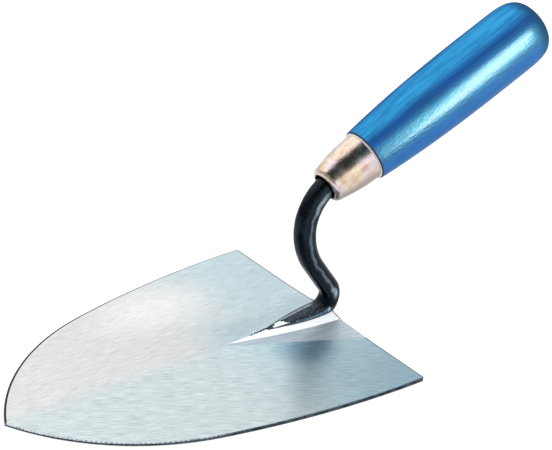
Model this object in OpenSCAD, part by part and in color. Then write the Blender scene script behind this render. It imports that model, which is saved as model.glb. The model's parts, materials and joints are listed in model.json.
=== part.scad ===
// Brick trowel: a ground steel blade, a forged swan neck welded on it, and a turned wooden handle
// driven on the neck's tang behind a pressed ferrule.
// Millimetres. +X runs from the blade to the handle, +Z is up, and the blade's flat underside is z = 0.
// The origin lies on that underside, in the middle of the blade's length.

/* [Blade] */
// Length of the blade from the heel edge to the tip
blade_length = 180; // [160:1:200]
// Width of the blade at the heel edge
blade_width = 150; // [130:1:165]
// Thickness of the plate at the heel
heel_thickness = 2.1; // [1.7:0.1:2.6]
// Thickness of the plate at the tip
tip_thickness = 1.1; // [0.8:0.1:1.5]
// Radius of the long side curves
side_radius = 424; // [380:1:500]
// Length of the nose, where the sides turn in to the tip
nose_length = 74.4; // [62:0.2:86]

/* [Foot and weld] */
// Length of the neck's foot, from the heel edge to its toe
foot_length = 36; // [30:1:44]
// Width of the foot at the heel
foot_width = 12; // [10.5:0.5:14]
// Height of the foot's back above the blade
foot_height = 4.7; // [4:0.1:5.4]
// Width of the foot's toe
toe_width = 2.4; // [1.6:0.2:3.6]
// Height of the foot's toe above the blade
toe_height = 1.5; // [1.3:0.1:2]
// Width of each ground weld flank beside the foot, at the heel
flank_width = 5.8; // [4:0.1:7]
// Height of the flanks against the foot, at the heel
flank_height = 2.1; // [1.8:0.1:2.5]
// Length of the weld in front of the toe
flank_runout = 22; // [16:1:30]
// Width of the crown, the shallow ground rise of the blade, beside each flank
crown_margin = 20.2; // [14:0.1:28]
// Height of the crown on the centre line at the heel
crown_height = 1; // [0.6:0.1:1.4]

/* [Neck] */
// Width of the neck, side to side
neck_width = 10.2; // [9:0.1:12]
// Depth of the neck above the heel, front to back
waist_depth = 9.7; // [8.6:0.1:11]
// Depth of the neck where it enters the ferrule
top_depth = 10.3; // [9:0.1:11.5]
// Distance from the heel edge to the start of the bend
bend_setback = 6.5; // [5:0.1:7.5]
// Radius of the bend at the heel, on the centre line
bend_radius = 8; // [7:0.1:9]
// Forward lean of the straight part from upright, in degrees
neck_lean = 34; // [26:1:40]
// Length of the straight part
neck_straight = 16.6; // [12:0.2:24]
// Radius of the sway, from the straight part to upright
sway_radius = 35; // [26:1:44]
// Radius of the crook, from upright to the handle's axis
crook_radius = 25.5; // [21:0.5:32]
// Rise of the handle's axis from level, in degrees
handle_rise = 23.8; // [16:0.1:34]

/* [Tang] */
// Length of the tang, from the end of the crook to its tip
tang_length = 84; // [60:1:100]
// Length of the shoulder between neck and tang
shoulder_length = 3.4; // [2.5:0.1:3.6]
// Side of the tang at the shoulder
tang_root = 7.2; // [6:0.2:8.4]
// Side of the tang at its tip
tang_tip = 3.2; // [2.4:0.2:4.4]
// Gap between the tang and the wood
tang_clearance = 0.1; // [0.05:0.05:0.2]

/* [Ferrule] */
// Length of the ferrule
ferrule_length = 25.4; // [24:0.2:32]
// Wall of the ferrule
ferrule_wall = 0.9; // [0.6:0.1:1.2]
// Depth that the crook reaches into the ferrule's mouth
crook_inside = 4.7; // [3.5:0.1:6]
// Gap between the neck and the ferrule's mouth
mouth_clearance = 0.9; // [0.2:0.1:1.2]
// Length of the drawn-in mouth
mouth_draw = 3; // [2.4:0.2:4]
// Diameter behind the drawn-in mouth
ferrule_front_diameter = 19.2; // [18:0.2:21]
// Diameter in front of the rim
ferrule_rear_diameter = 24.4; // [22.4:0.2:27]
// Height of the rim above the ferrule's body
rim_height = 1.2; // [0.6:0.1:1.6]
// Width of the rim
rim_width = 1; // [0.6:0.1:1.4]
// Gap between the ferrule and the wood inside it
ferrule_clearance = 0.05; // [0.02:0.01:0.15]

/* [Handle] */
// Length of the handle behind the ferrule
handle_length = 114.2; // [100:0.2:135]
// Height of the wood's shoulder above the ferrule's rim
shoulder_step = 0.1; // [0:0.05:0.6]
// Rounding of the shoulder
shoulder_round = 0.8; // [0.4:0.1:1.2]
// Largest diameter of the handle
belly_diameter = 33.8; // [31:0.1:38]
// Distance from the shoulder to the largest diameter
belly_distance = 85; // [70:1:92]
// Length of the rounded butt
butt_length = 21.5; // [15:0.5:26]
// Gap between the neck's shoulder and the end of the spigot
shoulder_gap = 0.3; // [0.1:0.1:1]
// Depth of the socket behind the tang's tip
socket_spare = 1.5; // [0.5:0.5:4]

/* [Hidden] */
$fn = 96;

// Shape constants
section_power = 2.6;    // rounded square of the neck: 2 is round, larger is squarer
swell_power = 2.5;      // how early the handle swells behind the ferrule
butt_power = 3.9;       // fullness of the rounded butt
taper_power = 1.9;      // bulge of the ferrule's taper
foot_seat = 1.9;        // depth of the foot's loft below the blade's face, before it is cut flush
weld_lap = 0.3;         // depth of the weld's top inside the foot, before the foot is cut out of it
flank_bow = 1.4;        // bulge of the weld's outline: 1 is straight, larger is fuller
crown_runout = 4;       // length of the crown in front of the weld

// Steps of the lofts and turned profiles
loft_sides = 24;
weld_steps = 8;
foot_steps = 9;
bend_steps = 14;
straight_steps = 3;
sway_steps = 8;
crook_steps = 14;
tang_steps = 3;
profile_steps = 16;

// Blade outline: the side arc is parallel to the centre line at the heel, and the nose arc is tangent
// to it and meets its mirror image at the tip. Distances run forward from the heel.
half_width = blade_width / 2;
nose_start = blade_length - nose_length;
turn_at_nose = asin(nose_start / side_radius);
half_at_nose = half_width - side_radius * (1 - cos(turn_at_nose));
nose_radius = (nose_length ^ 2 + half_at_nose ^ 2)
    / (2 * (half_at_nose * cos(turn_at_nose) - nose_length * sin(turn_at_nose)));
nose_centre = [nose_start - nose_radius * sin(turn_at_nose), half_at_nose - nose_radius * cos(turn_at_nose)];

// Weld and crown, worked out from the foot
foot_half = foot_width / 2;
weld_half = foot_half + flank_width;
weld_length = foot_length + flank_runout;
crown_half = weld_half + crown_margin;
crown_length = weld_length + crown_runout;

// Heights of the plate's face and of the crown on it, at a place x (negative in front of the heel)
function face_z(x) = heel_thickness + (heel_thickness - tip_thickness) * x / blade_length;
function crown_z(x, y) = face_z(x) + crown_height * (1 + x / crown_length - abs(y) / crown_half);

// Ferrule, measured from its mouth
neck_corner = top_depth / 2 * 2 ^ (1 / 2 - 1 / section_power);
crook_offset = crook_radius - sqrt(crook_radius ^ 2 - crook_inside ^ 2);
mouth_radius = neck_corner + crook_offset + mouth_clearance;
front_radius = ferrule_front_diameter / 2;
rear_radius = ferrule_rear_diameter / 2;
rim_radius = rear_radius + rim_height;
flare_length = rim_height;
taper_end = ferrule_length - rim_width - flare_length;
function ferrule_radius(z) =
    let (u = min(1, max(0, (z - mouth_draw) / (taper_end - mouth_draw))))
    front_radius + (rear_radius - front_radius) * (1 - (1 - u) ^ taper_power);

// Handle, measured from its shoulder
shoulder_radius = rim_radius + shoulder_step;
belly_radius = belly_diameter / 2;
butt_start = handle_length - butt_length;
function handle_radius(z) =
    let (u = min(1, z / belly_distance))
    shoulder_radius + (belly_radius - shoulder_radius) * (1 - (1 - u) ^ swell_power);

// A curved route in the plane of symmetry is a chain of pieces. State: [x, z, heading in degrees].
// A straight piece goes on by its length; a bend turns by an angle, left if positive, on its radius.
function go(state, length) =
    [state[0] + length * cos(state[2]), state[1] + length * sin(state[2]), state[2]];
function turn(state, radius, angle) =
    let (side = sign(angle), end = state[2] + angle)
    [state[0] + side * radius * (sin(end) - sin(state[2])),
     state[1] - side * radius * (cos(end) - cos(state[2])), end];

foot_end = [-bend_setback, heel_thickness + (foot_height - foot_seat) / 2, 0];
bend_angle = 90 + neck_lean;
bend_end = turn(foot_end, bend_radius, bend_angle);
straight_end = go(bend_end, neck_straight);
sway_end = turn(straight_end, sway_radius, -neck_lean);
crook_end = turn(sway_end, crook_radius, handle_rise - 90);
ferrule_mouth = go(crook_end, -crook_inside);
handle_start = go(ferrule_mouth, ferrule_length);
socket_start = shoulder_length + shoulder_gap;
spigot_length = ferrule_length - crook_inside - socket_start;

// One ring of a loft: a rounded square across the route, half as wide and deep as given
function ring(state, wide, deep) =
    [for (k = [0 : loft_sides - 1])
        let (a = 360 * k / loft_sides, c = cos(a), s = sin(a), power = 2 / section_power)
        let (u = deep * sign(c) * abs(c) ^ power, v = wide * sign(s) * abs(s) ^ power)
        [state[0] - u * sin(state[2]), v, state[1] + u * cos(state[2])]];
function blend(a, b, t) = a + (b - a) * t;
function ease(t) = t * t * (3 - 2 * t);

// Rings of the foot, from the toe back to the bend
function foot_ring(t) =
    let (x = blend(-foot_length, -bend_setback, t))
    let (height = blend(toe_height, foot_height, t) + face_z(x) - heel_thickness)
    ring([x, heel_thickness + (height - foot_seat) / 2, 0],
        blend(toe_width, foot_width, sin(90 * t)) / 2, (height + foot_seat) / 2);

// Rings of the neck, from the bend up to the end of the crook
function bend_ring(t) =
    ring(turn(foot_end, bend_radius, bend_angle * t), blend(foot_width, neck_width, ease(t)) / 2,
        blend(foot_height + foot_seat, waist_depth, ease(t)) / 2);
function neck_depth(t) = blend(waist_depth, top_depth, ease(t));
function straight_ring(t) =
    ring(go(bend_end, neck_straight * t), neck_width / 2, waist_depth / 2);
function sway_ring(t) =
    ring(turn(straight_end, sway_radius, -neck_lean * t), neck_width / 2, neck_depth(t) / 2);
function crook_ring(t) =
    ring(turn(sway_end, crook_radius, (handle_rise - 90) * t),
        blend(neck_width, top_depth, ease(t)) / 2, top_depth / 2);

// Rings of the tang at a distance from the end of the crook, grown all round by a gap
function tang_half(d) =
    blend(tang_root, tang_tip, (d - shoulder_length) / (tang_length - shoulder_length)) / 2;
function tang_ring(d, gap) = ring(go(crook_end, d), tang_half(d) + gap, tang_half(d) + gap);

// Rows of the weld, from the heel forward, on the crown's two slopes
weld_front = [-weld_length, 0, crown_z(-weld_length, 0)];
function weld_row(t) =
    let (x = -weld_length * t, wide = weld_half * (1 - t ^ flank_bow), edge = crown_z(x, wide))
    let (flat = (foot_half - weld_lap) * (1 - t))
    let (top = blend(heel_thickness + flank_height, weld_front[2], t))
    [[x, wide, edge], [x, flat, top], [x, -flat, top], [x, -wide, edge], [x, 0, crown_z(x, 0)]];

// A closed solid through a row of rings, with a flat last end or, if a tip is given, a pointed one
module loft(rings, tip = undef) {
    sides = len(rings[0]);
    last = len(rings) - 1;
    wall = [for (i = [0 : last - 1], k = [0 : sides - 1])
        let (a = i * sides + k, b = i * sides + (k + 1) % sides)
        each [[a, b, a + sides], [b, b + sides, a + sides]]];
    first_cap = [for (k = [sides - 1 : -1 : 0]) k];
    last_ring = [for (k = [0 : sides - 1]) last * sides + k];
    last_end = is_undef(tip)
        ? [last_ring]
        : [for (k = [0 : sides - 1]) [last_ring[k], last_ring[(k + 1) % sides], (last + 1) * sides]];
    points = [for (r = rings) each r];
    polyhedron(is_undef(tip) ? points : concat(points, [tip]), concat(wall, [first_cap], last_end),
        convexity = 8);
}

// Points along a quarter of an ellipse, as [radius, height]
function ellipse_arc(centre, rx, ry, from, to) =
    [for (i = [0 : profile_steps]) let (a = blend(from, to, i / profile_steps))
        centre + [rx * cos(a), ry * sin(a)]];

// Things measured from the heel
module at_heel() {
    translate([blade_length / 2, 0, 0])
        children();
}

// Things turned about the handle's axis, from a place on it
module on_handle_axis(state) {
    translate([state[0], 0, state[1]])
        rotate([0, 90 - state[2], 0])
            children();
}

// Plan outline: side arcs behind the start of the nose, nose arcs in front of it
module lens(centre, radius) {
    intersection() {
        translate([-centre[0], centre[1]])
            circle(radius);
        translate([-centre[0], -centre[1]])
            circle(radius);
    }
}
module plan_outline() {
    intersection() {
        lens([0, half_width - side_radius], side_radius);
        translate([-nose_start, -half_width])
            square([nose_start, blade_width]);
    }
    intersection() {
        lens(nose_centre, nose_radius);
        translate([-blade_length, -half_width])
            square([nose_length, blade_width]);
    }
}

// The plate with its taper and its crown
module plate() {
    intersection() {
        linear_extrude(heel_thickness)
            plan_outline();
        rotate([90, 0, 0])
            linear_extrude(blade_width, center = true)
                polygon([[0, 0], [0, heel_thickness], [-blade_length, tip_thickness], [-blade_length, 0]]);
    }
    base = tip_thickness / 2;
    polyhedron(
        [[0, -crown_half, base], [0, crown_half, base], [-crown_length, 0, base],
         [0, -crown_half, heel_thickness], [0, crown_half, heel_thickness],
         [-crown_length, 0, face_z(-crown_length)], [0, 0, heel_thickness + crown_height]],
        [[0, 1, 2], [0, 3, 6, 4, 1], [0, 2, 5, 3], [2, 1, 4, 5], [3, 5, 6], [6, 5, 4]]);
}

// The neck's forging before its foot is cut flush with the blade
module forging() {
    loft(concat(
        [for (i = [0 : foot_steps - 1]) foot_ring(i / foot_steps)],
        [for (i = [0 : bend_steps - 1]) bend_ring(i / bend_steps)],
        [for (i = [0 : straight_steps - 1]) straight_ring(i / straight_steps)],
        [for (i = [0 : sway_steps - 1]) sway_ring(i / sway_steps)],
        [for (i = [0 : crook_steps]) crook_ring(i / crook_steps)],
        [for (i = [0 : tang_steps]) tang_ring(blend(shoulder_length, tang_length, i / tang_steps), 0)]));
}

module blade() {
    color([0.78, 0.82, 0.85])
        plate();
}

module weld_fillet() {
    color([0.92, 0.93, 0.95])
        difference() {
            loft([for (i = [0 : weld_steps - 1]) weld_row(i / weld_steps)], weld_front);
            forging();
        }
}

module neck() {
    color([0.09, 0.1, 0.12])
        difference() {
            forging();
            plate();
        }
}

module ferrule() {
    wall = ferrule_wall;
    taper = [for (i = [0 : profile_steps]) blend(mouth_draw, taper_end, i / profile_steps)];
    mouth_out = ellipse_arc([mouth_radius, mouth_draw], front_radius - mouth_radius, mouth_draw, -90, 0);
    mouth_in = ellipse_arc([mouth_radius, mouth_draw], front_radius - wall - mouth_radius,
        mouth_draw - wall, 0, -90);
    flare = ellipse_arc([rim_radius, taper_end], rim_radius - rear_radius, flare_length, 180, 90);
    color([0.78, 0.74, 0.7])
        on_handle_axis(ferrule_mouth)
            rotate_extrude()
                polygon(concat(
                    mouth_out,
                    [for (z = taper) [ferrule_radius(z), z]],
                    flare,
                    [[rim_radius, ferrule_length], [rear_radius - wall, ferrule_length]],
                    [for (i = [profile_steps : -1 : 0]) [ferrule_radius(taper[i]) - wall, taper[i]]],
                    mouth_in));
}

module handle() {
    inside = ferrule_wall + ferrule_clearance;
    spigot = [for (i = [0 : profile_steps]) blend(-spigot_length, 0, i / profile_steps)];
    swell = [for (i = [1 : profile_steps]) blend(shoulder_round, butt_start, i / profile_steps)];
    butt = [for (i = [1 : profile_steps - 1]) let (a = 90 * i / profile_steps, power = 2 / butt_power)
        [handle_radius(butt_start) * cos(a) ^ power, butt_start + butt_length * sin(a) ^ power]];
    color([0.1, 0.42, 0.76])
        difference() {
            on_handle_axis(handle_start)
                rotate_extrude()
                    polygon(concat(
                        [[0, -spigot_length]],
                        [for (z = spigot) [ferrule_radius(ferrule_length + z) - inside, z]],
                        ellipse_arc([shoulder_radius - shoulder_round, shoulder_round], shoulder_round,
                            shoulder_round, -90, 0),
                        [for (z = swell) [handle_radius(z), z]],
                        butt,
                        [[0, handle_length]]));
            loft([for (i = [0 : tang_steps])
                tang_ring(blend(socket_start - socket_spare, tang_length + socket_spare, i / tang_steps),
                    tang_clearance)]);
        }
}

at_heel() blade();
at_heel() weld_fillet();
at_heel() neck();
at_heel() ferrule();
at_heel() handle();
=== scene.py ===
# %% [markdown]
# A brick trowel
#
# This lesson dresses a brick trowel: a brushed steel blade, the ground weld on it, a forged swan neck in
# black lacquer, a plated ferrule and a blue wooden handle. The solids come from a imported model, which fixes
# the places and the outer sizes. Here each solid gets a finer mesh in the same place, and a finish made of
# shader nodes.

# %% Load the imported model
import json
import math
import bmesh
import bpy
from mathutils import Matrix, Vector, noise


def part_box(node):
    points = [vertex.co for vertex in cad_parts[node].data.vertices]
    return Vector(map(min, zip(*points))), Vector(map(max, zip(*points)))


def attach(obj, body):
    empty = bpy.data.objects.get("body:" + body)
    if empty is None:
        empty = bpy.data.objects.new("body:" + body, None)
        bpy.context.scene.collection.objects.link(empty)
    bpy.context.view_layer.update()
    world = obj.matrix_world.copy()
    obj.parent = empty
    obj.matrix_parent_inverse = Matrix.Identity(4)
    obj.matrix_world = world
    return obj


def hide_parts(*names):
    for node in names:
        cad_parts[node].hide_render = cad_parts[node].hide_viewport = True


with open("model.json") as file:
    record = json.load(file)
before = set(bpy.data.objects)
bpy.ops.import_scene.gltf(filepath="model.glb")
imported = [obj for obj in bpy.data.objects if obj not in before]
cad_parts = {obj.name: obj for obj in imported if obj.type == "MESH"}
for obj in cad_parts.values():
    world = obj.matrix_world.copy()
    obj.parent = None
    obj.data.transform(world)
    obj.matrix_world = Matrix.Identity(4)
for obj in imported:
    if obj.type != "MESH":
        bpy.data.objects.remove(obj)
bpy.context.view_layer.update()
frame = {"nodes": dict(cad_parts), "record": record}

scene = bpy.context.scene
mm = 0.001
print("nodes in the frame:", sorted(frame["nodes"]))

# %% [markdown]
# The camera
#
# A product picture is taken from a distance with a long lens, so that a tool doesn't look bent. The place
# of a camera can be found by eye, but it is quicker to write it as angles round the object: turn, height
# and roll. The lens is given in pixels of the picture, which is the form that measuring a picture gives.

# %% Camera
picture_width = 552
lens_pixels = 2000
film_width = 36
camera_turn = math.radians(-37.275)
camera_height = math.radians(27.555)
camera_roll = math.radians(1.895)
camera_distance = 1065.19 * mm
camera_aim = Vector((125.19 * mm, 88.99 * mm, 0))

toward_camera = Vector((
    math.sin(camera_turn) * math.cos(camera_height),
    -math.cos(camera_turn) * math.cos(camera_height),
    math.sin(camera_height)))
level_right = Vector((math.cos(camera_turn), math.sin(camera_turn), 0))
level_up = toward_camera.cross(level_right)
picture_right = level_right * math.cos(camera_roll) + level_up * math.sin(camera_roll)
picture_up = level_up * math.cos(camera_roll) - level_right * math.sin(camera_roll)

lens = bpy.data.cameras.new("camera")
lens.sensor_fit = "HORIZONTAL"
lens.sensor_width = film_width
lens.lens = film_width * lens_pixels / picture_width
camera = bpy.data.objects.new("camera", lens)
camera_axes = Matrix((picture_right, picture_up, toward_camera)).transposed().to_4x4()
camera.matrix_world = Matrix.Translation(camera_aim + toward_camera * camera_distance) @ camera_axes
scene.collection.objects.link(camera)
scene.camera = camera
print("lens", round(lens.lens, 1), "mm")

# %% [markdown]
# Nodes as plain calls
#
# Finishes are trees of shader nodes. They could be wired by hand in the editor, but in a script a few small
# helpers keep them readable. One adds a node and takes for each input a value or another node's output. The
# others stand on it: arithmetic, a smooth step, a mixed colour.

# %% Helpers that add nodes
def set_inputs(tree, node, inputs):
    """Give a node its inputs. A socket is linked, and any other value is set."""
    for name, value in inputs.items():
        if isinstance(value, bpy.types.NodeSocket):
            tree.links.new(value, node.inputs[name])
        else:
            node.inputs[name].default_value = value


def add_node(tree, kind, inputs=None, **settings):
    """Add one node to a tree, with its settings and its inputs."""
    node = tree.nodes.new(kind)
    for name, value in settings.items():
        setattr(node, name, value)
    set_inputs(tree, node, inputs or {})
    return node


print("nodes are those of Blender", bpy.app.version_string)


# %% Helpers for numbers, vectors and colours
def sums(tree, operation, first, second):
    """Arithmetic on two numbers."""
    return add_node(tree, "ShaderNodeMath", {0: first, 1: second}, operation=operation).outputs[0]


def mix_numbers(tree, share, first, second):
    """A number between two others."""
    step = sums(tree, "MULTIPLY", share, sums(tree, "SUBTRACT", second, first))
    return sums(tree, "ADD", first, step)


def remap(tree, value, start, end, low=0.0, high=1.0):
    """A smooth step: low before start, high after end."""
    inputs = {"Value": value, "From Min": start, "From Max": end, "To Min": low, "To Max": high}
    return add_node(tree, "ShaderNodeMapRange", inputs, interpolation_type="SMOOTHSTEP").outputs["Result"]


def vectors(tree, operation, first, second=(0, 0, 0)):
    """Arithmetic on two vectors. A dot product and a length give a number."""
    node = add_node(tree, "ShaderNodeVectorMath", {0: first, 1: second}, operation=operation)
    return node.outputs["Value" if operation in ("DOT_PRODUCT", "LENGTH") else "Vector"]


def parts_of(tree, vector):
    """The X, Y and Z of a vector."""
    return add_node(tree, "ShaderNodeSeparateXYZ", {0: vector}).outputs


def mix_colours(tree, share, first, second):
    """A colour between two others."""
    return add_node(tree, "ShaderNodeMix", {0: share, 6: first, 7: second}, data_type="RGBA").outputs[2]


def rgb(red, green, blue):
    """A colour as nodes take it, with full alpha."""
    return (red, green, blue, 1.0)


print("white, as nodes take it:", rgb(1, 1, 1))

# %% [markdown]
# The studio
#
# Metal shows little but its surroundings, so the studio is most of the look. The room is dark. A large
# bright screen stands behind and above the tool and ends on the right, where the room is tinted. Dim
# patches stand in front and at both sides, and low in front lies a pale fill with a brighter core. A
# picture of a room could stand for that, but a few soft patches of directions are enough, each with a
# middle and the two angles of its border. The floor fills the picture, so only the tool shows the room.


# %% Directions in the studio
def direction_to(turn, height):
    """A direction by degrees of turn from the front toward the right, and degrees above level."""
    turn = math.radians(turn)
    height = math.radians(height)
    return Vector((math.sin(turn) * math.cos(height), -math.cos(turn) * math.cos(height), math.sin(height)))


def patch(tree, direction, centre, core, rim):
    """One inside a round patch of directions, with a soft border between two angles in degrees."""
    closeness = vectors(tree, "DOT_PRODUCT", direction, centre)
    return remap(tree, closeness, math.cos(math.radians(rim)), math.cos(math.radians(core)))


screen_centre = direction_to(180, 36)
print("the screen stands toward", [round(part, 2) for part in screen_centre])

# %% World
room_colour = rgb(0.03, 0.045, 0.05)
right_colour = rgb(0.10, 0.22, 0.27)
front_colour = rgb(0.30, 0.33, 0.35)
side_colour = rgb(0.42, 0.46, 0.48)
fill_colour = rgb(1.08, 1.0, 0.98)
core_colour = rgb(1.7, 1.65, 1.6)
screen_colour = rgb(1.55, 1.55, 1.55)
screen_low_colour = rgb(0.92, 0.96, 0.99)
screen_fade = (0.1, 0.6)
screen_end_normal = (-0.839, 0.545, 0.3)
screen_end = (0.06, -0.10)

world = bpy.data.worlds.new("studio")
world.use_nodes = True
scene.world = world
sky = world.node_tree
sky.nodes.clear()
direction = add_node(sky, "ShaderNodeTexCoord").outputs["Generated"]
rise = parts_of(sky, direction)["Z"]
screen = mix_colours(sky, remap(sky, rise, *screen_fade), screen_low_colour, screen_colour)
light = mix_colours(sky, patch(sky, direction, screen_centre, 34, 54), room_colour, screen)
past_screen = remap(sky, vectors(sky, "DOT_PRODUCT", direction, screen_end_normal), *screen_end)
light = mix_colours(sky, past_screen, light, right_colour)
for centre, core, rim, colour in (
        (direction_to(-40, 18), 12, 36, front_colour),
        (direction_to(-100, 16), 20, 44, side_colour),
        (direction_to(58, 20), 12, 32, side_colour),
        (direction_to(10, 5), 26, 38, fill_colour),
        (direction_to(4, 17), 5, 17, core_colour)):
    light = mix_colours(sky, patch(sky, direction, centre, core, rim), light, colour)
backdrop = add_node(sky, "ShaderNodeBackground", {"Color": light, "Strength": 1.0})
add_node(sky, "ShaderNodeOutputWorld", {"Surface": backdrop.outputs[0]})
print("world: screen", screen_colour[0], "in a room of", room_colour[0])

# %% [markdown]
# The floor and the lamps
#
# The floor is pale and matt. What the camera and the metal see of it gets a glow on top, so that it is
# white where nothing shades it and the tool's shadow stays. Two soft boxes help the world. The front box is
# only mirrored: it draws the long streak on the handle and the lights on the neck. The top box only lights,
# and no surface mirrors it. One lamp could do both, but apart each can be set without spoiling the other.


# %% Floor
def new_finish(name):
    """A new material and its tree of nodes, which holds one shader so far."""
    finish = bpy.data.materials.new(name)
    finish.use_nodes = True
    print("finish", name)
    return finish, finish.node_tree


def set_shader(tree, inputs):
    """Give the shader of a finish its inputs."""
    set_inputs(tree, tree.nodes["Principled BSDF"], inputs)


floor_size = 30.0
floor_drop = 0.2 * mm
floor_grey = 0.4
floor_glow = 0.7

bpy.ops.mesh.primitive_plane_add(size=floor_size, location=(0, 0, -floor_drop))
floor = bpy.context.object
floor.name = "floor"
floor_paint, tree = new_finish("floor_paint")
paths = add_node(tree, "ShaderNodeLightPath").outputs
direct = sums(tree, "MAXIMUM", paths["Is Camera Ray"], paths["Is Glossy Ray"])
direct = sums(tree, "MAXIMUM", direct, paths["Is Transmission Ray"])
set_shader(tree, {
    "Base Color": rgb(floor_grey, floor_grey, floor_grey),
    "Roughness": 1.0,
    "Specular IOR Level": 0.0,
    "Emission Color": rgb(1, 1, 1),
    "Emission Strength": sums(tree, "MULTIPLY", direct, floor_glow),
})
floor.data.materials.append(floor_paint)
print("floor", floor_size, "m wide")

# %% Lamps
lamp_aim = Vector((0.17, 0, 0.11))
lamp_distance = 1.1


def soft_box(name, toward, width, height, radiance, mirrored=True, lights=True):
    """An area lamp that looks at the handle, with the brightness of its face."""
    lamp = bpy.data.lights.new(name, "AREA")
    lamp.shape = "RECTANGLE"
    lamp.size = width
    lamp.size_y = height
    lamp.energy = radiance * math.pi * width * height
    holder = bpy.data.objects.new(name, lamp)
    holder.location = lamp_aim + toward * lamp_distance
    holder.rotation_euler = toward.to_track_quat("Z", "Y").to_euler()
    holder.visible_glossy = mirrored
    holder.visible_diffuse = lights
    scene.collection.objects.link(holder)
    print(name, round(lamp.energy, 2), "W")
    return holder


front_box = soft_box("front_box", direction_to(20, 17), width=0.24, height=0.85, radiance=56.0,
                     lights=False)
soft_box("top_box", direction_to(-20, 64), width=1.0, height=1.0, radiance=3.6, mirrored=False)

# %% [markdown]
# Meshes from points and faces
#
# The trowel's pieces are a plate, lofts and turned parts. Blender's modifiers could bend and spin curves,
# but all of these follow simple formulas, so each mesh is written directly. A shell collects faces by the
# places of their corners and shares equal places, so that collapsed corners at a tip close by themselves.


# %% Shell
class Shell:
    """Faces of one piece, given by the places of their corners."""

    def __init__(self):
        self.places = {}
        self.faces = []
        self.groups = []

    def corner(self, place):
        """The number of a corner by its place. Equal places share a corner."""
        key = tuple(round(value, 8) for value in place)
        return self.places.setdefault(key, len(self.places))

    def face(self, corners, group=0):
        """One face. Corners that fall together are joined, and what is left of an empty face is dropped."""
        loop = []
        for place in corners:
            index = self.corner(place)
            if index not in loop:
                loop.append(index)
        if len(loop) > 2:
            self.faces.append(loop)
            self.groups.append(group)

    def strip(self, first, second, closed=True, group=0):
        """Faces between two rows of places. The group is a number, or a function of the column."""
        count = len(first)
        for k in range(count if closed else count - 1):
            after = (k + 1) % count
            number = group(k) if callable(group) else group
            self.face((first[k], first[after], second[after], second[k]), number)

    def strips(self, rows, closed=True, group=0):
        """Faces between each row and the next."""
        for first, second in zip(rows, rows[1:]):
            self.strip(first, second, closed, group)


trial = Shell()
trial.strip([(0, 0, 0), (1, 0, 0), (2, 0, 0)], [(0, 1, 0), (1, 1, 0), (2, 1, 0)], closed=False)
print("two rows of three places give", len(trial.faces), "faces with", len(trial.places), "corners")


# %% Piece on the frame
def make_piece(shell, name, node, finishes, sharp=40):
    """The finished object, riding on the frame in place of its solid. Sharp is an angle in degrees."""
    mesh = bpy.data.meshes.new(name)
    mesh.from_pydata(list(shell.places), [], shell.faces)
    for finish in finishes:
        mesh.materials.append(finish)
    for polygon, group in zip(mesh.polygons, shell.groups):
        polygon.material_index = group
    work = bmesh.new()
    work.from_mesh(mesh)
    bmesh.ops.recalc_face_normals(work, faces=work.faces)
    work.to_mesh(mesh)
    work.free()
    mesh.shade_smooth()
    mesh.set_sharp_from_angle(angle=math.radians(sharp))
    piece = bpy.data.objects.new(name, mesh)
    scene.collection.objects.link(piece)
    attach(piece, "root")
    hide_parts(node)
    low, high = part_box(node)
    corners = [Vector(corner) for corner in piece.bound_box]
    below = [min(corner[i] for corner in corners) - low[i] for i in range(3)]
    above = [high[i] - max(corner[i] for corner in corners) for i in range(3)]
    print(name, len(mesh.polygons), "faces, inside its solid's box by mm",
          [round(value / mm, 2) for value in below], [round(value / mm, 2) for value in above])
    return piece


def blend(first, second, share):
    """A value between two others."""
    return first + (second - first) * share


def ease(share):
    """A share that starts and ends slowly."""
    return share * share * (3 - 2 * share)


print("a quarter of the way, eased:", ease(0.25))

# %% [markdown]
# The blade's outline
#
# A mason's blade is cut from ground plate, thicker at the heel than at the tip. Its side is one long arc,
# and the nose is a second arc that is tangent to it and meets its mirror image at the tip. A curve object
# could hold that, but two circles give the half width at any distance from the heel, also drawn in by the
# width of a bevel.

# %% Outline
blade_low, blade_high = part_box("blade")
heel = blade_high.x
blade_length = blade_high.x - blade_low.x
half_width = blade_high.y
side_radius = 424 * mm
nose_length = 74.4 * mm
corner_radius = 1.3 * mm

nose_start = blade_length - nose_length
nose_turn = math.asin(nose_start / side_radius)
nose_half = half_width - side_radius * (1 - math.cos(nose_turn))
nose_radius = (nose_length ** 2 + nose_half ** 2) / (
    2 * (nose_half * math.cos(nose_turn) - nose_length * math.sin(nose_turn)))
nose_ahead = nose_start - nose_radius * math.sin(nose_turn)
nose_aside = nose_half - nose_radius * math.cos(nose_turn)


def tip_ahead(inset):
    """Distance from the heel to the tip of the outline, drawn in by an inset."""
    return nose_ahead + math.sqrt((nose_radius - inset) ** 2 - nose_aside ** 2)


def half_outline(ahead, inset):
    """Half width at a distance ahead of the heel, drawn in by an inset, with rounded heel corners."""
    if ahead < nose_start:
        half = math.sqrt((side_radius - inset) ** 2 - ahead ** 2) + half_width - side_radius
    else:
        half = math.sqrt(max(0, (nose_radius - inset) ** 2 - (ahead - nose_ahead) ** 2)) + nose_aside
    corner = corner_radius - inset
    left = corner_radius - ahead
    if left > 0 and corner > 0:
        half -= corner - math.sqrt(max(0, corner ** 2 - left ** 2))
    return max(0, half)


print("nose radius", round(nose_radius / mm, 1), "mm, tip at", round(tip_ahead(0) / mm, 2), "mm")
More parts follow.
